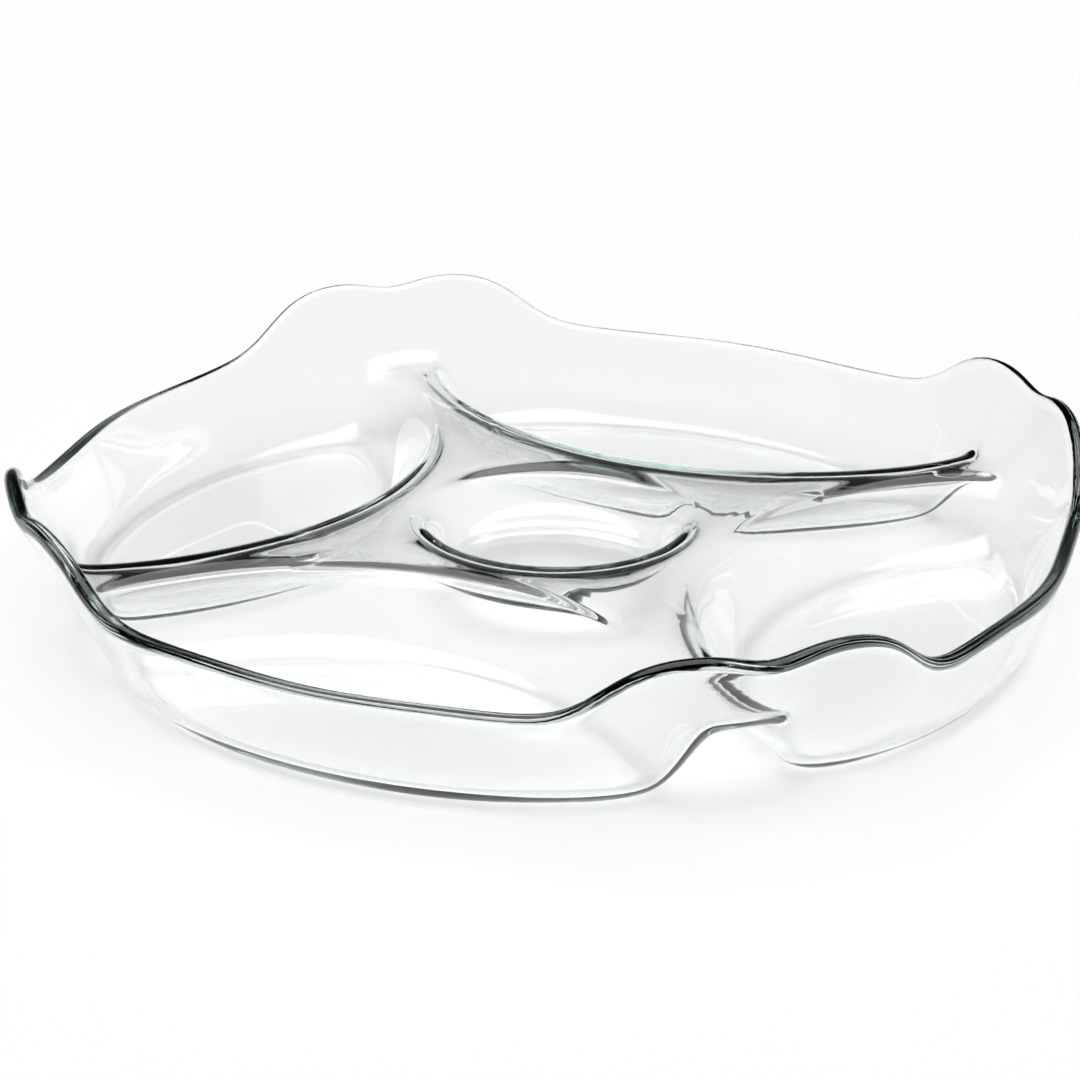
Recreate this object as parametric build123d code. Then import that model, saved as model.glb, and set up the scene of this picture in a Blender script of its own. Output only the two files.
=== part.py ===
"""Chip and dip server: one pressed glass dish with four compartments and a centre dip well.

The glass is a sheet.  Its middle surface is a height over the table: a level
crest, with a well and four pockets let down into it, and a wall that climbs
to a wavy rim.  The sheet is that surface thickened to both sides and rounded
over at the rim.  Its underside turns more softly under each lip than its
top, so the glass is a little thicker there.  All lengths are in millimetres, Z is up, and the
ridges between the pockets lie on the X and Y axes.
"""
from build123d import *
import math
import os

# Sheet
GLASS = 4.0                 # glass thickness
CREST_Z = 21.8              # middle surface on the crest round the well
CREST_FALL = 1.8            # the ridges come down by this towards the rim
CREST_FALL_POWER = 4
FLOOR_Z = 1.5               # middle surface in the pocket floors
WELL_Z = 10.9               # middle surface in the well floor
UNDER_LIP_EXTRA = 1.2       # added to both lip roundings on the underside
FOLDS = 4                   # pockets, and ridges between them

# Dip well
WELL_RADIUS = 34.5
WELL_SLOPE = 2.4            # rise per unit of run
WELL_LIP_ROUND = 2.6        # softness of the edge at the top of the well
WELL_FOOT_ROUND = 3.0       # softness at the well floor

# Pockets: each is cut by a large circle whose centre lies outside it
POCKET_RADIUS = 97.0
POCKET_CENTRE = 143.7       # from the dish axis
POCKET_SLOPE = 2.0
POCKET_LIP_ROUND = 2.2
POCKET_FOOT_ROUND = 4.5
RIDGE_FLARE = 6.0           # the ridge widens by this where it meets the wall
RIDGE_FLARE_REACH = 8.0
RIDGE_FLARE_INSET = 6.0     # the flare is full this far inside the rim

# Outer wall and rim
RIM_MEAN = 135.8            # rim radius, then its 4-, 8- and 12-fold waves
RIM_WAVES = (4.0, 0.4, -0.6)
RIM_LOW = 28.6              # rim height round a pocket
RIM_HIGH = 44.6             # rim height at the raised corners
RIM_DIP = 3.0               # small dip in the middle of each corner
CORNER_HALF_ANGLE = 15.6    # degrees from the ridge to half height
CORNER_EASE = 4.6           # degrees over which the rim climbs
DIP_HALF_ANGLE = 4.5
FOOT_RADIUS = 124.8         # wall produced down to the pocket floor level
FOOT_NOTCH = 7.5            # how far the wall foot is drawn in at a ridge
FOOT_NOTCH_ANGLE = 10.5
WALL_RIDGE_ROUND = 2.7      # softness where the wall leaves a ridge
WALL_FLOOR_ROUND = 5.0      # softness where it leaves a pocket floor

# Rings the surface is drawn through
CAP_RADIUS = 16.0           # flat disc in the middle of the well
WELL_RINGS = 12
PLATEAU_RADIUS = 38.0
PLATEAU_RINGS = 18
POCKET_WALL_RADIUS = 68.0
POCKET_RINGS = 11
WALL_RUN = 8.0              # the wall rings begin this far inside its foot
WALL_RINGS = 13
WALL_CROWDING = 1.6         # draws the wall rings together towards the rim
LIP_STEPS = 6
SPOKES_PER_FOLD = 48
SPOKE_CROWDING = 0.55       # draws the spokes together on the ridges
GRADIENT_STEP = 0.01


def soft_plus(value, softness):
    """Zero below nought and the value itself above, with a rounded knee."""
    scaled = value / softness
    if scaled > 0:
        return value + softness * math.log1p(math.exp(-scaled))
    return softness * math.log1p(math.exp(scaled))


def soft_ramp(value, depth, lip_round, foot_round):
    """Ramp from nought to depth, rounded at its lip and at its foot."""
    return soft_plus(value, lip_round) - soft_plus(value - depth, foot_round)


def from_ridge(angle):
    """Degrees from the nearest ridge line, between 0 and 45."""
    pitch = 360.0 / FOLDS
    turned = math.degrees(angle) % pitch
    return min(turned, pitch - turned)


def rim_radius(angle):
    waves = [
        wave * math.cos(FOLDS * (order + 1) * angle)
        for order, wave in enumerate(RIM_WAVES)
    ]
    return RIM_MEAN + sum(waves)


def rim_height(angle):
    away = from_ridge(angle)
    climb = 0.5 - 0.5 * math.tanh((away - CORNER_HALF_ANGLE) / CORNER_EASE)
    dip = math.exp(-((away / DIP_HALF_ANGLE) ** 2))
    return RIM_LOW + (RIM_HIGH - RIM_LOW) * climb - RIM_DIP * dip


def foot_radius(angle):
    away = from_ridge(angle)
    return FOOT_RADIUS - FOOT_NOTCH * math.exp(-((away / FOOT_NOTCH_ANGLE) ** 2))


def crest_height(radius):
    return CREST_Z - CREST_FALL * (radius / RIM_MEAN) ** CREST_FALL_POWER


def well_drop(radius, lip_extra):
    inside = (WELL_RADIUS - radius) * WELL_SLOPE
    lip_round = WELL_LIP_ROUND + lip_extra
    return soft_ramp(inside, CREST_Z - WELL_Z, lip_round, WELL_FOOT_ROUND)


def pocket_drop(x, y, radius, angle, lip_extra):
    """Depth of all four pockets under the crest at one place."""
    depth = crest_height(radius) - FLOOR_Z
    lip_round = POCKET_LIP_ROUND + lip_extra
    to_flare = rim_radius(angle) - RIDGE_FLARE_INSET - radius
    flare = RIDGE_FLARE * math.exp(-to_flare / RIDGE_FLARE_REACH)
    drop = 0.0
    for fold in range(FOLDS):
        heading = math.tau * (fold + 0.5) / FOLDS
        centre_x = POCKET_CENTRE * math.cos(heading)
        centre_y = POCKET_CENTRE * math.sin(heading)
        inside = POCKET_RADIUS - math.hypot(x - centre_x, y - centre_y) - flare
        slope = inside * POCKET_SLOPE
        drop += soft_ramp(slope, depth, lip_round, POCKET_FOOT_ROUND)
    return drop


def wall_height(radius, angle):
    """Straight outer wall through its foot and the middle of the rim."""
    foot = foot_radius(angle)
    rise = rim_height(angle) - GLASS / 2 - FLOOR_Z
    return FLOOR_Z + rise * (radius - foot) / (rim_radius(angle) - foot)


def height(x, y, lip_extra):
    """Surface half the glass thickness in from the top or the underside."""
    radius = math.hypot(x, y)
    angle = math.atan2(y, x)
    crest = crest_height(radius)
    pockets = pocket_drop(x, y, radius, angle, lip_extra)
    inner = crest - well_drop(radius, lip_extra) - pockets
    share = pockets / (crest - FLOOR_Z)
    softness = WALL_RIDGE_ROUND + (WALL_FLOOR_ROUND - WALL_RIDGE_ROUND) * share
    return inner + soft_plus(wall_height(radius, angle) - inner, softness)


def on_surface(radius, angle, lip_extra=0.0):
    x = radius * math.cos(angle)
    y = radius * math.sin(angle)
    return Vector(x, y, height(x, y, lip_extra))


def normal_at(point, lip_extra=0.0):
    """Upward normal of the surface that the point is on."""
    x, y, step = point.X, point.Y, GRADIENT_STEP
    along_x = height(x + step, y, lip_extra) - height(x - step, y, lip_extra)
    along_y = height(x, y + step, lip_extra) - height(x, y - step, lip_extra)
    return Vector(-along_x, -along_y, 2 * step).normalized()


def spoke_angles():
    """Directions the surface is drawn through, closer together on the ridges."""
    pitch = math.tau / FOLDS
    angles = []
    for fold in range(FOLDS):
        for spoke in range(SPOKES_PER_FOLD):
            share = spoke / SPOKES_PER_FOLD
            eased = share - SPOKE_CROWDING * math.sin(math.tau * share) / math.tau
            angles.append(pitch * (fold + eased))
    return angles


def spread(start, end, count):
    """Evenly spaced values from start up to, but without, end."""
    return [start + (end - start) * index / count for index in range(count)]


def ring_radii(angle):
    """Radii along one spoke from the flat disc to the rim."""
    rim = rim_radius(angle)
    wall_start = foot_radius(angle) - WALL_RUN
    radii = spread(CAP_RADIUS, PLATEAU_RADIUS, WELL_RINGS)
    radii += spread(PLATEAU_RADIUS, POCKET_WALL_RADIUS, PLATEAU_RINGS)
    radii += spread(POCKET_WALL_RADIUS, wall_start, POCKET_RINGS)
    for index in range(WALL_RINGS + 1):
        left = (1 - index / WALL_RINGS) ** WALL_CROWDING
        radii.append(rim - (rim - wall_start) * left)
    return radii


def rim_outward(angle):
    """Direction in which the sheet ends: across the rim, along the wall."""
    step = GRADIENT_STEP / RIM_MEAN
    ahead = on_surface(rim_radius(angle + step), angle + step)
    behind = on_surface(rim_radius(angle - step), angle - step)
    point = on_surface(rim_radius(angle), angle)
    return (ahead - behind).cross(normal_at(point)).normalized()


def skin_points(angle, lip_extra, offset):
    """Points along one spoke on the top or the underside of the glass."""
    points = []
    for radius in ring_radii(angle):
        point = on_surface(radius, angle, lip_extra)
        points.append(point + normal_at(point, lip_extra) * offset)
    return points


def lip_points(angle):
    """Half circle over the edge of the sheet, without its two ends."""
    rim = on_surface(rim_radius(angle), angle)
    normal = normal_at(rim)
    outward = rim_outward(angle)
    points = []
    for step in range(1, LIP_STEPS):
        turn = math.pi * step / LIP_STEPS
        reach = normal * math.cos(turn) + outward * math.sin(turn)
        points.append(rim + reach * GLASS / 2)
    return points


def section_points(angle):
    """Outline of the glass along one spoke: top, rounded rim, underside."""
    top = skin_points(angle, 0.0, GLASS / 2)
    under = skin_points(angle, UNDER_LIP_EXTRA, -GLASS / 2)
    return top + lip_points(angle) + under[::-1]


def glass_rings():
    """Closed curves round the dish, one through the same place on every spoke."""
    sections = [section_points(angle) for angle in spoke_angles()]
    count = len(sections)
    knots = list(range(count + 1))
    rings = []
    for points in zip(*sections):
        curve = Edge.make_spline(list(points), periodic=True, parameters=knots)
        rings.append(Wire([curve]))
    return rings


def glass_dish():
    """The whole dish, ground flat on the table under each pocket."""
    sheet = Solid.make_loft(glass_rings())
    reach = 2 * (RIM_MEAN + sum(RIM_WAVES)) + GLASS
    below = Pos(0, 0, -GLASS / 2) * Box(reach, reach, GLASS)
    return sheet - below


dish = glass_dish()
dish.label = "glass_dish"
os.makedirs("parts", exist_ok=True)
export_step(dish, "parts/glass_dish.step")
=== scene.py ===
# %% [markdown]
# # A pressed glass chip and dip server
#
# The dish is one sheet of clear glass, about 28 cm across.  A plunger pressed
# it, still soft, into a mould, so it is nearly one thickness all over.  It
# holds four half-moon pockets round a dip well, with hollow ridges between
# the pockets, and its rim climbs in a wave over each ridge.
#
# The CAD model is loaded first and never moves.  The visible glass is then
# built around it, in metres and in the same place.

# %% Load the CAD frame
import bpy
import math
from mathutils import Matrix, Vector


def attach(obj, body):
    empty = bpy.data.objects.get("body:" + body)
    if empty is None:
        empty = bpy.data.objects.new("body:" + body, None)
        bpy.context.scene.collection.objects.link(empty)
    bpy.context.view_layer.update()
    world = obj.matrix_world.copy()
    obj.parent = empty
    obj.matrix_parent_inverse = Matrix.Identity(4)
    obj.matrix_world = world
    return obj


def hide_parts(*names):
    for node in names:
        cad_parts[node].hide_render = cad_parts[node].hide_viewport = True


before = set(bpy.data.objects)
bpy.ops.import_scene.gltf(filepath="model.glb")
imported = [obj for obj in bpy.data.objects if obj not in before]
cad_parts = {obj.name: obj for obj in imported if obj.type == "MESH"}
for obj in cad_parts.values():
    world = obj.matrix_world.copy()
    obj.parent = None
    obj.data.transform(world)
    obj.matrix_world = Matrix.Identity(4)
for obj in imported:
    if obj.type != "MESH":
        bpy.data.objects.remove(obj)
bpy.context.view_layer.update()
MM = 0.001

# %% [markdown]
# ## One sheet, one rule
#
# Every part of this dish is a height over the table.  The crest is level, the
# well and the pockets are let down into it, and the wall climbs out of it to
# the rim.  A shape like that could be sculpted, or cut from a lathe form with
# booleans, but neither would keep its thickness.  Here Geometry Nodes works
# the height out as a formula, and each size is an input of its node group.
# These are the sizes that the formula takes.  The last one
# rounds the underside of each lip more than the top, as pressing does.

# %% The sizes of the dish
SHEET = {
    "Glass Thickness": 4.0 * MM,
    "Crest Height": 21.8 * MM,
    "Crest Fall": 1.8 * MM,
    "Floor Height": 1.5 * MM,
    "Well Height": 10.9 * MM,
    "Well Radius": 34.5 * MM,
    "Well Slope": 2.4,
    "Well Lip Round": 2.6 * MM,
    "Well Foot Round": 3.0 * MM,
    "Pocket Radius": 97.0 * MM,
    "Pocket Centre": 143.7 * MM,
    "Pocket Slope": 2.0,
    "Pocket Lip Round": 2.2 * MM,
    "Pocket Foot Round": 4.5 * MM,
    "Ridge Flare": 6.0 * MM,
    "Ridge Flare Reach": 8.0 * MM,
    "Ridge Flare Inset": 6.0 * MM,
    "Rim Radius": 135.8 * MM,
    "Rim Wave 4": 4.0 * MM,
    "Rim Wave 8": 0.4 * MM,
    "Rim Wave 12": -0.6 * MM,
    "Low Rim": 28.6 * MM,
    "High Rim": 44.6 * MM,
    "Rim Dip": 3.0 * MM,
    "Corner Half Angle": 15.6,
    "Corner Ease": 4.6,
    "Dip Half Angle": 4.5,
    "Foot Radius": 124.8 * MM,
    "Foot Notch": 7.5 * MM,
    "Foot Notch Angle": 10.5,
    "Wall Ridge Round": 2.7 * MM,
    "Wall Floor Round": 5.0 * MM,
    "Under Lip Extra": 1.2 * MM,
}
FOLDS = 4
HALF_PITCH = 180.0 / FOLDS
CREST_FALL_POWER = 4
print(len(SHEET), "sizes; angles among them are in degrees")

# %% [markdown]
# ## Writing formulas as nodes
#
# A long formula is tiring to wire by hand.  This small class holds one socket
# of a node tree and turns the signs + - * / into Math nodes, so that the
# rules below read like school algebra.  The nodes are real: open the tree in
# the editor and they are all there.

# %% Fields that can be added and multiplied
COLUMN_HEIGHT = 12
NODE_WIDTH = 190
NODE_DROP = 170


def add_node(tree, kind):
    """A new node, set in the next free place of a simple layout."""
    place = len(tree.nodes)
    node = tree.nodes.new(kind)
    column, row = divmod(place, COLUMN_HEIGHT)
    node.location = (column * NODE_WIDTH, -row * NODE_DROP)
    return node


def plug(tree, value, socket):
    """Wires a field into a socket, or types a plain number there."""
    if isinstance(value, Field):
        tree.links.new(value.socket, socket)
    else:
        socket.default_value = value


def calculate(tree, operation, *terms):
    node = add_node(tree, "ShaderNodeMath")
    node.operation = operation
    for term, socket in zip(terms, node.inputs):
        plug(tree, term, socket)
    return Field(tree, node.outputs[0])


class Field:
    """A number that changes over the mesh."""

    def __init__(self, tree, socket):
        self.tree = tree
        self.socket = socket

    def then(self, operation, *others):
        return calculate(self.tree, operation, self, *others)

    def __add__(self, other):
        return self.then("ADD", other)

    def __radd__(self, other):
        return calculate(self.tree, "ADD", other, self)

    def __sub__(self, other):
        return self.then("SUBTRACT", other)

    def __rsub__(self, other):
        return calculate(self.tree, "SUBTRACT", other, self)

    def __mul__(self, other):
        return self.then("MULTIPLY", other)

    def __rmul__(self, other):
        return calculate(self.tree, "MULTIPLY", other, self)

    def __truediv__(self, other):
        return self.then("DIVIDE", other)

    def __rtruediv__(self, other):
        return calculate(self.tree, "DIVIDE", other, self)

    def __neg__(self):
        return self.then("MULTIPLY", -1.0)

    def squared(self):
        return self * self


def bell(field):
    """One at nought, falling to nothing on both sides."""
    return (-field.squared()).then("EXPONENT")


def between(field, start, end):
    """Nought before start, one after end, and a straight climb between."""
    return ((field - start) / (end - start)).then("MAXIMUM", 0.0).then("MINIMUM", 1.0)


def soft_plus(field, softness):
    """Nought below nought and the field itself above, with a round knee."""
    tail = (-(field.then("ABSOLUTE") / softness)).then("EXPONENT")
    knee = (tail + 1.0).then("LOGARITHM", math.e)
    return field.then("MAXIMUM", 0.0) + knee * softness


def soft_ramp(field, depth, lip_round, foot_round):
    """A ramp from nought to depth, rounded at its lip and at its foot."""
    return soft_plus(field, lip_round) - soft_plus(field - depth, foot_round)


print("formula helpers ready")

# %% [markdown]
# ## Node groups that can be used again
#
# A node group is a function: sockets go in and sockets come out.  The rim is
# needed in several places and the height in five, so each is a group.  The
# helper below makes the group and its named inputs, and hands back every
# input as a field.

# %% Making and using groups
GEOMETRY = "GeometryNodeTree"
SHADER = "ShaderNodeTree"
NUMBER = "NodeSocketFloat"


def new_group(name, kind, inputs, outputs):
    """An empty node group, its input fields by name, and its output node."""
    tree = bpy.data.node_groups.new(name, kind)
    for label, (socket_type, value) in inputs.items():
        entry = tree.interface.new_socket(label, in_out="INPUT", socket_type=socket_type)
        if value is not None:
            entry.default_value = value
    for label, socket_type in outputs.items():
        tree.interface.new_socket(label, in_out="OUTPUT", socket_type=socket_type)
    source = add_node(tree, "NodeGroupInput")
    fields = {label: Field(tree, source.outputs[label]) for label in inputs}
    return tree, fields, add_node(tree, "NodeGroupOutput")


def use_group(tree, group, values):
    """Places a group in a tree, with a field or a number for each input."""
    kind = "GeometryNodeGroup" if tree.bl_idname == GEOMETRY else "ShaderNodeGroup"
    node = add_node(tree, kind)
    node.node_tree = group
    for socket in node.inputs:
        plug(tree, values[socket.name], socket)
    return {socket.name: Field(tree, socket) for socket in node.outputs}


def sizes_named(*names):
    """Interface entries for some of the dish's sizes."""
    return {name: (NUMBER, SHEET[name]) for name in names}


print("group helpers ready")

# %% [markdown]
# ## The rim seen from above
#
# From above the rim is nearly a rounded square.  A circle with a few cosine
# waves added gives that outline with no corner in it anywhere, which suits
# glass that was fire polished.  The same group gives the height of the rim:
# low along a pocket, then a quick climb to the raised corner over each ridge,
# with a small dip in the middle like a pouring lip.

# %% Group: Rim Curve
rim_tree, rim, rim_out = new_group(
    "Rim Curve",
    GEOMETRY,
    {
        "Angle": (NUMBER, 0.0),
        **sizes_named(
            "Rim Radius", "Rim Wave 4", "Rim Wave 8", "Rim Wave 12",
            "Low Rim", "High Rim", "Rim Dip",
            "Corner Half Angle", "Corner Ease", "Dip Half Angle",
            "Foot Radius", "Foot Notch", "Foot Notch Angle",
        ),
    },
    {"Away": NUMBER, "Radius": NUMBER, "Swing": NUMBER, "Height": NUMBER, "Foot": NUMBER},
)


def degrees_from_ridge(angle):
    """Goes 0, 45, 0 degrees from one ridge line to the next."""
    return angle.then("DEGREES").then("PINGPONG", HALF_PITCH)


away = degrees_from_ridge(rim["Angle"])
rim_radius = rim["Rim Radius"]
rim_swing = rim["Angle"] * 0.0
for order in (FOLDS, 2 * FOLDS, 3 * FOLDS):
    wave = rim[f"Rim Wave {order}"]
    turned = rim["Angle"] * float(order)
    rim_radius = rim_radius + wave * turned.then("COSINE")
    rim_swing = rim_swing - wave * turned.then("SINE") * float(order)
past_corner = ((away - rim["Corner Half Angle"]) / rim["Corner Ease"]).then("TANH")
climb = 0.5 - past_corner * 0.5
dip = bell(away / rim["Dip Half Angle"])
rim_height = rim["Low Rim"] + (rim["High Rim"] - rim["Low Rim"]) * climb - rim["Rim Dip"] * dip
foot = rim["Foot Radius"] - rim["Foot Notch"] * bell(away / rim["Foot Notch Angle"])
for label, field in (
    ("Away", away), ("Radius", rim_radius), ("Swing", rim_swing),
    ("Height", rim_height), ("Foot", foot),
):
    plug(rim_tree, field, rim_out.inputs[label])
print("Rim Curve has", len(rim_tree.nodes), "nodes")

# %% [markdown]
# ## The height of the sheet
#
# This group is the mould.  It starts from the crest, takes the well away,
# then takes away four pockets.  Each pocket is the inside of a large circle
# whose centre lies outside the dish, which is why a pocket is a half moon.
# Last, the wall is laid over the result.  Joining two surfaces with a soft
# maximum leaves a fillet between them, as the mould maker would.

# %% Group: Dish Height
height_tree, size, height_out = new_group(
    "Dish Height",
    GEOMETRY,
    {
        "X": (NUMBER, 0.0), "Y": (NUMBER, 0.0), "Under": (NUMBER, 0.0),
        **sizes_named(*SHEET),
    },
    {"Height": NUMBER},
)
lip_extra = size["Under Lip Extra"] * size["Under"]
out_from_axis = (size["X"].squared() + size["Y"].squared()).then("SQRT")
heading = size["Y"].then("ARCTAN2", size["X"])
here = use_group(height_tree, rim_tree, {"Angle": heading, **size})

fall = (out_from_axis / size["Rim Radius"]).then("POWER", float(CREST_FALL_POWER))
crest = size["Crest Height"] - size["Crest Fall"] * fall
well = soft_ramp(
    (size["Well Radius"] - out_from_axis) * size["Well Slope"],
    size["Crest Height"] - size["Well Height"],
    size["Well Lip Round"] + lip_extra,
    size["Well Foot Round"],
)
to_flare = here["Radius"] - size["Ridge Flare Inset"] - out_from_axis
flare = size["Ridge Flare"] * (-(to_flare / size["Ridge Flare Reach"])).then("EXPONENT")
depth = crest - size["Floor Height"]
pockets = None
for fold in range(FOLDS):
    turn = math.tau * (fold + 0.5) / FOLDS
    across = size["X"] - size["Pocket Centre"] * math.cos(turn)
    along = size["Y"] - size["Pocket Centre"] * math.sin(turn)
    from_centre = (across.squared() + along.squared()).then("SQRT")
    inside = (size["Pocket Radius"] - from_centre - flare) * size["Pocket Slope"]
    lip_round = size["Pocket Lip Round"] + lip_extra
    pocket = soft_ramp(inside, depth, lip_round, size["Pocket Foot Round"])
    pockets = pocket if pockets is None else pockets + pocket
inner = crest - well - pockets
wall_rise = here["Height"] - size["Glass Thickness"] / 2.0 - size["Floor Height"]
up_the_wall = (out_from_axis - here["Foot"]) / (here["Radius"] - here["Foot"])
wall = size["Floor Height"] + wall_rise * up_the_wall
over_floor = pockets / depth
softness = size["Wall Ridge Round"] + (
    (size["Wall Floor Round"] - size["Wall Ridge Round"]) * over_floor
)
plug(height_tree, inner + soft_plus(wall - inner, softness), height_out.inputs["Height"])
print("Dish Height has", len(height_tree.nodes), "nodes")

# %% [markdown]
# ## From a tube to a dish
#
# The sheet has a top, a rounded lip and an underside, and it closes on
# itself.  A tube with closed ends has the same layout: its upper end becomes
# the middle of the well, its side becomes the top, the lip and the underside
# in turn, and its lower end closes the foot of the well.  Using one tube
# means there is no seam to weld.
#
# Rings of points are set close together where the glass bends sharply, at
# the well, at the edge of each pocket and up the wall, and spread out on the
# level floors.  Each row here is a share of the rings and the place on the
# spoke where that share ends.

# %% Where the rings of points go
SPOKES = 576
RINGS = 80
LIP_STEPS = 8
SPOKE_CROWDING = 0.55
STEP = 0.1 * MM
CAP_RADIUS = 16.0 * MM
WELL_WALL_FOOT = 25.5 * MM
WELL_WALL_TOP = 38.0 * MM
POCKET_EDGE_BEFORE = 3.0 * MM
POCKET_EDGE_AFTER = 11.0 * MM
POCKET_EDGE_REACH = 76.0 * MM
WALL_START = 8.0 * MM
RING_SHARES = (0.03, 0.17, 0.06, 0.21, 0.23, 0.30)


def pocket_edge(size, heading):
    """How far out a spoke meets the edge of the pocket that it crosses."""
    off_middle = (HALF_PITCH - degrees_from_ridge(heading)).then("RADIANS")
    reach = size["Pocket Centre"] * off_middle.then("COSINE")
    offset = size["Pocket Centre"] * off_middle.then("SINE")
    half_chord = (size["Pocket Radius"].squared() - offset.squared()).then("MAXIMUM", 0.0)
    return (reach - half_chord.then("SQRT")).then("MINIMUM", POCKET_EDGE_REACH)


def ring_radius(share, ends):
    """Radius of a ring whose share of the way along the spoke is known."""
    radius = CAP_RADIUS
    start = 0.0
    inner_end = CAP_RADIUS
    for part, end in zip(RING_SHARES, ends):
        radius = radius + between(share, start, start + part) * (end - inner_end)
        start += part
        inner_end = end
    return radius


print("about", SPOKES * (2 * RINGS + LIP_STEPS) * 2, "triangles")

# %% [markdown]
# ## Thickening the surface
#
# The formula gives the middle of the glass, with softer lips when it is asked
# for the underside.  Half the thickness is added along the surface normal on
# the top and taken off underneath.  At the rim the direction swings through
# half a turn, from the normal, through the way the sheet is heading, to the
# far side, which makes the round lip.  The underside is held at the table, so
# each pocket ends in a flat foot.

# %% Tree: Pressed Sheet
def vector_calculate(tree, operation, *terms):
    node = add_node(tree, "ShaderNodeVectorMath")
    node.operation = operation
    for term, socket in zip(terms, node.inputs):
        plug(tree, term, socket)
    return Field(tree, node.outputs["Vector"])


def scaled(tree, vector, factor):
    node = add_node(tree, "ShaderNodeVectorMath")
    node.operation = "SCALE"
    plug(tree, vector, node.inputs["Vector"])
    plug(tree, factor, node.inputs["Scale"])
    return Field(tree, node.outputs["Vector"])


def combined(tree, x, y, z):
    node = add_node(tree, "ShaderNodeCombineXYZ")
    for value, socket in zip((x, y, z), node.inputs):
        plug(tree, value, socket)
    return Field(tree, node.outputs["Vector"])


def separated(tree, vector):
    node = add_node(tree, "ShaderNodeSeparateXYZ")
    plug(tree, vector, node.inputs["Vector"])
    return [Field(tree, socket) for socket in node.outputs]


sheet_tree, size, sheet_out = new_group(
    "Pressed Sheet",
    GEOMETRY,
    {
        "Spokes": ("NodeSocketInt", SPOKES),
        "Rings": ("NodeSocketInt", RINGS),
        "Lip Steps": ("NodeSocketInt", LIP_STEPS),
        **sizes_named(*SHEET),
        "Glass": ("NodeSocketMaterial", None),
    },
    {"Geometry": "NodeSocketGeometry"},
)
steps = size["Rings"] * 2.0 + size["Lip Steps"]
tube = add_node(sheet_tree, "GeometryNodeMeshCylinder")
tube.fill_type = "TRIANGLE_FAN"
plug(sheet_tree, size["Spokes"], tube.inputs["Vertices"])
plug(sheet_tree, steps, tube.inputs["Side Segments"])
tube.inputs["Radius"].default_value = 1.0
tube.inputs["Depth"].default_value = 1.0

position = Field(sheet_tree, add_node(sheet_tree, "GeometryNodeInputPosition").outputs[0])
tube_x, tube_y, tube_z = separated(sheet_tree, position)
on_side = (tube_x.squared() + tube_y.squared()).then("SQRT")
tube_angle = tube_y.then("ARCTAN2", tube_x)
crowding = (tube_angle * float(FOLDS)).then("SINE") * (SPOKE_CROWDING / FOLDS)
heading = tube_angle - crowding
step_number = (0.5 - tube_z) * steps
from_lip = step_number.then("MINIMUM", steps - step_number)
share = between(from_lip / size["Rings"], 0.0, 1.0)
half_turn = between(step_number - size["Rings"], 0.0, size["Lip Steps"]) * math.pi

here = use_group(sheet_tree, rim_tree, {"Angle": heading, **size})
edge = pocket_edge(size, heading)
radius = on_side * ring_radius(
    share,
    (
        WELL_WALL_FOOT,
        WELL_WALL_TOP,
        edge - POCKET_EDGE_BEFORE,
        edge + POCKET_EDGE_AFTER,
        here["Foot"] - WALL_START,
        here["Radius"],
    ),
)
cosine = heading.then("COSINE")
sine = heading.then("SINE")
x = radius * cosine
y = radius * sine
under = 0.5 - half_turn.then("COSINE") * 0.5


def sheet_height(x, y):
    place = {"X": x, "Y": y, "Under": under}
    return use_group(sheet_tree, height_tree, {**place, **size})["Height"]


height = sheet_height(x, y)
slope_x = (sheet_height(x + STEP, y) - sheet_height(x - STEP, y)) / (2 * STEP)
slope_y = (sheet_height(x, y + STEP) - sheet_height(x, y - STEP)) / (2 * STEP)
normal = vector_calculate(
    sheet_tree, "NORMALIZE", combined(sheet_tree, -slope_x, -slope_y, 1.0)
)
rim_x = here["Swing"] * cosine - here["Radius"] * sine
rim_y = here["Swing"] * sine + here["Radius"] * cosine
along_rim = combined(sheet_tree, rim_x, rim_y, slope_x * rim_x + slope_y * rim_y)
outward = vector_calculate(
    sheet_tree,
    "NORMALIZE",
    vector_calculate(sheet_tree, "CROSS_PRODUCT", along_rim, normal),
)
half_glass = size["Glass Thickness"] / 2.0
moved = vector_calculate(
    sheet_tree,
    "ADD",
    combined(sheet_tree, x, y, height),
    vector_calculate(
        sheet_tree,
        "ADD",
        scaled(sheet_tree, normal, half_turn.then("COSINE") * half_glass),
        scaled(sheet_tree, outward, half_turn.then("SINE") * half_glass),
    ),
)
table_level = combined(sheet_tree, -1.0, -1.0, 0.0)
moved = vector_calculate(sheet_tree, "MAXIMUM", moved, table_level)

place = add_node(sheet_tree, "GeometryNodeSetPosition")
smooth = add_node(sheet_tree, "GeometryNodeSetShadeSmooth")
realize = add_node(sheet_tree, "GeometryNodeRealizeInstances")
paint = add_node(sheet_tree, "GeometryNodeSetMaterial")
sheet_tree.links.new(tube.outputs["Mesh"], place.inputs["Geometry"])
plug(sheet_tree, moved, place.inputs["Position"])
sheet_tree.links.new(place.outputs["Geometry"], smooth.inputs["Geometry"])
sheet_tree.links.new(smooth.outputs["Geometry"], realize.inputs["Geometry"])
sheet_tree.links.new(realize.outputs["Geometry"], paint.inputs["Geometry"])
plug(sheet_tree, size["Glass"], paint.inputs["Material"])
sheet_tree.links.new(paint.outputs["Geometry"], sheet_out.inputs["Geometry"])
print("Pressed Sheet has", len(sheet_tree.nodes), "nodes")

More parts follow.
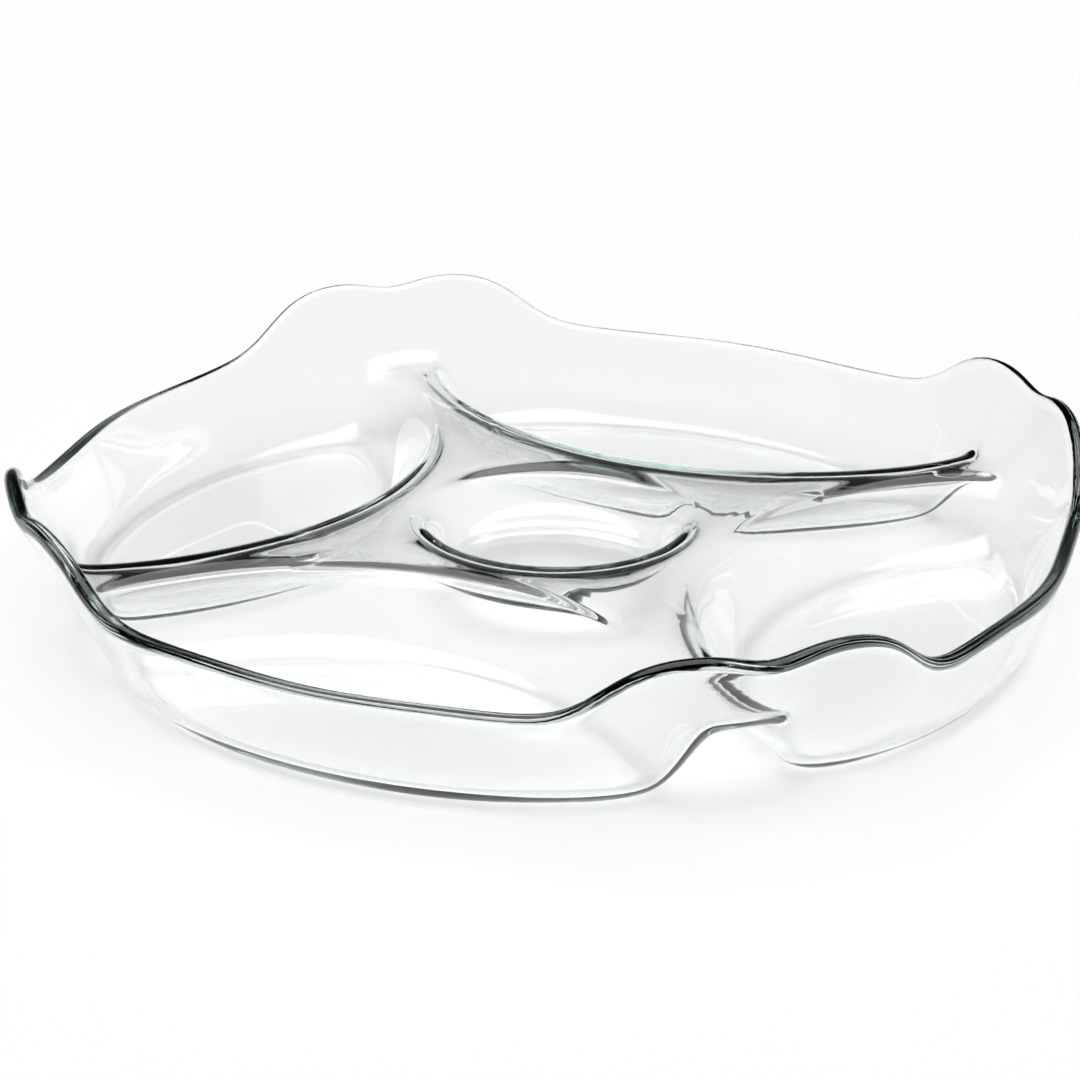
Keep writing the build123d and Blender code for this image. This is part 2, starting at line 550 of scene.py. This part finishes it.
# %% [markdown]
# ## What pressing and use leave on the glass
#
# Four faint marks tell pressed glass from a perfect solid.  The chilled skin
# keeps slow waves.  The rim, melted again in a flame, keeps fine ripples that
# run along it.  Hands leave smears, and the feet are rubbed dull on tables.
# An image could hold these, but it would need to be unwrapped over the whole
# sheet.  Noise in the dish's own coordinates has no seam.  Each mark is a
# shader node group that puts out a height or a mask, and nothing else.

# %% Groups: waves, ripples, smears and wear
VECTOR = "NodeSocketVector"
SMOOTH_DETAIL = 1.0
SCUFF_DETAIL = 3.0
SMEAR_DETAIL = 4.0


def noise(tree, point, grain, detail):
    """Smooth noise between nought and one, with blotches of one grain."""
    node = add_node(tree, "ShaderNodeTexNoise")
    plug(tree, point, node.inputs["Vector"])
    plug(tree, 1.0 / grain, node.inputs["Scale"])
    node.inputs["Detail"].default_value = detail
    return Field(tree, node.outputs["Fac"])


def slow_waves_group():
    tree, put, out = new_group(
        "Slow Waves",
        SHADER,
        {"Point": (VECTOR, None), "Length": (NUMBER, 20 * MM), "Depth": (NUMBER, 0.01 * MM)},
        {"Height": NUMBER},
    )
    waves = noise(tree, put["Point"], put["Length"], SMOOTH_DETAIL)
    plug(tree, waves * put["Depth"], out.inputs["Height"])
    return tree


def rim_ripples_group():
    tree, put, out = new_group(
        "Rim Ripples",
        SHADER,
        {
            "Point": (VECTOR, None),
            "Along": (NUMBER, 60 * MM),
            "Across": (NUMBER, 2 * MM),
            "Depth": (NUMBER, 0.01 * MM),
            "Start Radius": (NUMBER, 126 * MM),
            "Full Radius": (NUMBER, 132 * MM),
        },
        {"Height": NUMBER},
    )
    x, y, z = separated(tree, put["Point"])
    radius = (x.squared() + y.squared()).then("SQRT")
    stretch = put["Full Radius"] / put["Along"]
    stretched = combined(
        tree,
        x / radius * stretch,
        y / radius * stretch,
        (radius + z) / put["Across"],
    )
    ripples = noise(tree, stretched, 1.0, SMOOTH_DETAIL)
    near_rim = between(radius, put["Start Radius"], put["Full Radius"])
    plug(tree, ripples * near_rim * put["Depth"], out.inputs["Height"])
    return tree


def smears_group():
    tree, put, out = new_group(
        "Smears",
        SHADER,
        {"Point": (VECTOR, None), "Size": (NUMBER, 15 * MM), "Amount": (NUMBER, 0.5)},
        {"Mask": NUMBER},
    )
    blotches = noise(tree, put["Point"], put["Size"], SMEAR_DETAIL)
    plug(tree, between(blotches, 1.0 - put["Amount"], 1.0), out.inputs["Mask"])
    return tree


def foot_wear_group():
    tree, put, out = new_group(
        "Foot Wear",
        SHADER,
        {"Point": (VECTOR, None), "Reach": (NUMBER, 0.2 * MM), "Grain": (NUMBER, 1 * MM)},
        {"Mask": NUMBER},
    )
    over_table = separated(tree, put["Point"])[2]
    touching = 1.0 - between(over_table, 0.0, put["Reach"])
    scuffs = noise(tree, put["Point"], put["Grain"], SCUFF_DETAIL)
    plug(tree, touching * scuffs, out.inputs["Mask"])
    return tree


slow_waves = slow_waves_group()
rim_ripples = rim_ripples_group()
smears = smears_group()
foot_wear = foot_wear_group()
print("mark groups:", [group.name for group in (slow_waves, rim_ripples, smears, foot_wear)])

# %% [markdown]
# ## Clear glass
#
# Soda-lime glass is clear through its 4 mm but green along an edge, where
# light travels centimetres inside it.  A tint on the surface would colour the
# floor and the edge alike, so the green comes from absorption in the volume.
# The heights go through one Bump node and the masks into the roughness.

# %% Material: clear pressed glass
GLASS_IOR = 1.517
EDGE_COLOUR = (0.31, 0.84, 0.73, 1.0)
EDGE_DENSITY = 3.5
WAVES = {"Length": 24 * MM, "Depth": 0.05 * MM}
RIPPLES = {
    "Along": 120 * MM,
    "Across": 2.4 * MM,
    "Depth": 0.012 * MM,
    "Start Radius": 128 * MM,
    "Full Radius": 134 * MM,
}
SMEARS = {"Size": 18 * MM, "Amount": 0.45}
WEAR = {"Reach": 0.2 * MM, "Grain": 0.8 * MM}
SMEAR_ROUGHNESS = 0.03
WEAR_ROUGHNESS = 0.25


def clear_glass():
    material = bpy.data.materials.new("clear pressed glass")
    material.use_nodes = True
    tree = material.node_tree
    tree.nodes.clear()
    point = Field(tree, add_node(tree, "ShaderNodeTexCoord").outputs["Object"])
    waves = use_group(tree, slow_waves, {"Point": point, **WAVES})["Height"]
    ripples = use_group(tree, rim_ripples, {"Point": point, **RIPPLES})["Height"]
    smeared = use_group(tree, smears, {"Point": point, **SMEARS})["Mask"]
    worn = use_group(tree, foot_wear, {"Point": point, **WEAR})["Mask"]
    bump = add_node(tree, "ShaderNodeBump")
    bump.inputs["Distance"].default_value = 1.0
    plug(tree, waves + ripples, bump.inputs["Height"])
    surface = add_node(tree, "ShaderNodeBsdfPrincipled")
    surface.inputs["Base Color"].default_value = (1.0, 1.0, 1.0, 1.0)
    surface.inputs["IOR"].default_value = GLASS_IOR
    surface.inputs["Transmission Weight"].default_value = 1.0
    roughness = smeared * SMEAR_ROUGHNESS + worn * WEAR_ROUGHNESS
    plug(tree, roughness, surface.inputs["Roughness"])
    tree.links.new(bump.outputs["Normal"], surface.inputs["Normal"])
    volume = add_node(tree, "ShaderNodeVolumeAbsorption")
    volume.inputs["Color"].default_value = EDGE_COLOUR
    volume.inputs["Density"].default_value = EDGE_DENSITY
    output = add_node(tree, "ShaderNodeOutputMaterial")
    tree.links.new(surface.outputs["BSDF"], output.inputs["Surface"])
    tree.links.new(volume.outputs["Volume"], output.inputs["Volume"])
    return material


glass = clear_glass()
print("material:", glass.name, "with", len(glass.node_tree.nodes), "nodes")

# %% [markdown]
# ## Pressing the dish
#
# The modifier's inputs are reached by each socket's identifier.  Evaluating
# the object once and copying the result leaves a plain mesh, which rides on
# the CAD body and stands for the CAD dish.

# %% Build the dish
def set_inputs(modifier, values):
    for item in modifier.node_group.interface.items_tree:
        if item.in_out == "INPUT" and item.name in values:
            modifier[item.identifier] = values[item.name]


def pressed_dish():
    seed = bpy.data.objects.new("dish_seed", bpy.data.meshes.new("dish_seed"))
    bpy.context.scene.collection.objects.link(seed)
    modifier = seed.modifiers.new("Pressed Sheet", "NODES")
    modifier.node_group = sheet_tree
    set_inputs(modifier, {**SHEET, "Glass": glass})
    bpy.context.view_layer.update()
    shaped = seed.evaluated_get(bpy.context.evaluated_depsgraph_get())
    mesh = bpy.data.meshes.new_from_object(shaped)
    mesh.name = "glass_sheet"
    bpy.data.objects.remove(seed)
    dish = bpy.data.objects.new("glass_sheet", mesh)
    bpy.context.scene.collection.objects.link(dish)
    return dish


dish = pressed_dish()
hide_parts("glass_dish")
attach(dish, "root")
print("dish:", len(dish.data.vertices), "points,", len(dish.data.polygons), "faces")

# %% [markdown]
# ## A white table
#
# The dish stands on a sheet of white acrylic with lamps both under and over
# it.  It is bright from every side, so the floor seen through the glass stays
# nearly as white as the floor beside it.  The table lies a hair under the
# feet, because two faces in the very same plane would flicker.

# %% The table
TABLE_SIDE = 12.0
TABLE_GAP = 0.2 * MM
TABLE_WHITE = (0.85, 0.85, 0.85, 1.0)
TABLE_ROUGHNESS = 0.8
LAMPS_UNDER_TABLE = 0.25


def white_table():
    half = TABLE_SIDE / 2
    ends = ((-half, -half), (half, -half), (half, half), (-half, half))
    mesh = bpy.data.meshes.new("table")
    mesh.from_pydata([(x, y, -TABLE_GAP) for x, y in ends], [], [(0, 1, 2, 3)])
    table = bpy.data.objects.new("table", mesh)
    bpy.context.scene.collection.objects.link(table)
    material = bpy.data.materials.new("white acrylic")
    material.use_nodes = True
    surface = material.node_tree.nodes["Principled BSDF"]
    surface.inputs["Base Color"].default_value = TABLE_WHITE
    surface.inputs["Roughness"].default_value = TABLE_ROUGHNESS
    surface.inputs["Emission Color"].default_value = (1.0, 1.0, 1.0, 1.0)
    surface.inputs["Emission Strength"].default_value = LAMPS_UNDER_TABLE
    table.data.materials.append(material)


white_table()
print("table:", TABLE_SIDE, "m square")

# %% [markdown]
# ## A bright field for clear glass
#
# Clear glass shows only what is round it, so with light from every side it
# would vanish.  Glass is lit with a bright background and dark flags just
# outside the view, so that each bend of the sheet catches a flag as a dark
# line.  Lamps and flags could stand round the table, but they would show in
# some views.  Here the room's light depends only on how high it comes from:
# dim at the horizon, dark above it, and bright from a soft box overhead.
# What the camera sees directly is plain white.

# %% The room's light
HORIZON_LIGHT = 0.15
FLAG_LIGHT = 0.02
SOFT_BOX_LIGHT = 2.5
FLAG_FOOT = (10.0, 14.0)
FLAG_TOP = (52.0, 56.0)


def studio_light():
    room = bpy.data.worlds.new("bright field")
    room.use_nodes = True
    tree = room.node_tree
    direction = Field(tree, add_node(tree, "ShaderNodeTexCoord").outputs["Generated"])
    elevation = separated(tree, direction)[2].then("ARCSINE").then("DEGREES")
    on_flag = between(elevation, *FLAG_FOOT)
    on_soft_box = between(elevation, *FLAG_TOP)
    light = HORIZON_LIGHT + (
        on_flag * (FLAG_LIGHT - HORIZON_LIGHT) + on_soft_box * (SOFT_BOX_LIGHT - FLAG_LIGHT)
    )
    seen = Field(tree, add_node(tree, "ShaderNodeLightPath").outputs["Is Camera Ray"])
    plug(tree, light + seen * (1.0 - light), tree.nodes["Background"].inputs["Strength"])
    tree.nodes["Background"].inputs["Color"].default_value = (1.0, 1.0, 1.0, 1.0)
    bpy.context.scene.world = room


studio_light()
print("room light: flags from", FLAG_FOOT[0], "to", FLAG_TOP[1], "degrees up")

# %% [markdown]
# ## Following light through the glass
#
# Light that enters the rim can bounce inside it many times.  Each bounce
# costs time, and the longest paths only brighten the rim, which on real glass
# looks almost black.  So a path stops after a dozen bounces.  Filter Glossy
# is turned off, because with it the table under the glass comes out much too
# dark.

# %% Light paths and colours
GLASS_BOUNCES = 12
light_paths = bpy.context.scene.cycles
light_paths.max_bounces = GLASS_BOUNCES
light_paths.transmission_bounces = GLASS_BOUNCES
light_paths.glossy_bounces = GLASS_BOUNCES
light_paths.blur_glossy = 0.0
bpy.context.scene.view_settings.view_transform = "Standard"
print("light bounces in glass:", GLASS_BOUNCES)

# %% [markdown]
# ## The camera
#
# A long lens from almost a metre away, a little over twenty degrees up and
# to the left, looks across the pockets and into the well.  The lens shift
# moves the picture within the frame without turning the camera.

# %% Camera
CAMERA_AZIMUTH = -20.54
CAMERA_ELEVATION = 22.54
CAMERA_DISTANCE = 898.5 * MM
CAMERA_LENS = 114.3
CAMERA_ROLL = 0.885
CAMERA_SHIFT = (-0.0128, 0.0038)
AIM = Vector((0.0, 0.0, 14.6 * MM))


def dish_camera():
    data = bpy.data.cameras.new("camera")
    data.lens = CAMERA_LENS
    data.shift_x, data.shift_y = CAMERA_SHIFT
    camera = bpy.data.objects.new("camera", data)
    azimuth = math.radians(CAMERA_AZIMUTH)
    elevation = math.radians(CAMERA_ELEVATION)
    back = Vector((
        math.sin(azimuth) * math.cos(elevation),
        -math.cos(azimuth) * math.cos(elevation),
        math.sin(elevation),
    ))
    turn = (-back).to_track_quat("-Z", "Y").to_matrix().to_4x4()
    roll = Matrix.Rotation(math.radians(CAMERA_ROLL), 4, "Z")
    camera.matrix_world = Matrix.Translation(AIM + back * CAMERA_DISTANCE) @ turn @ roll
    bpy.context.scene.collection.objects.link(camera)
    return camera


bpy.context.scene.camera = dish_camera()
print("camera ready")
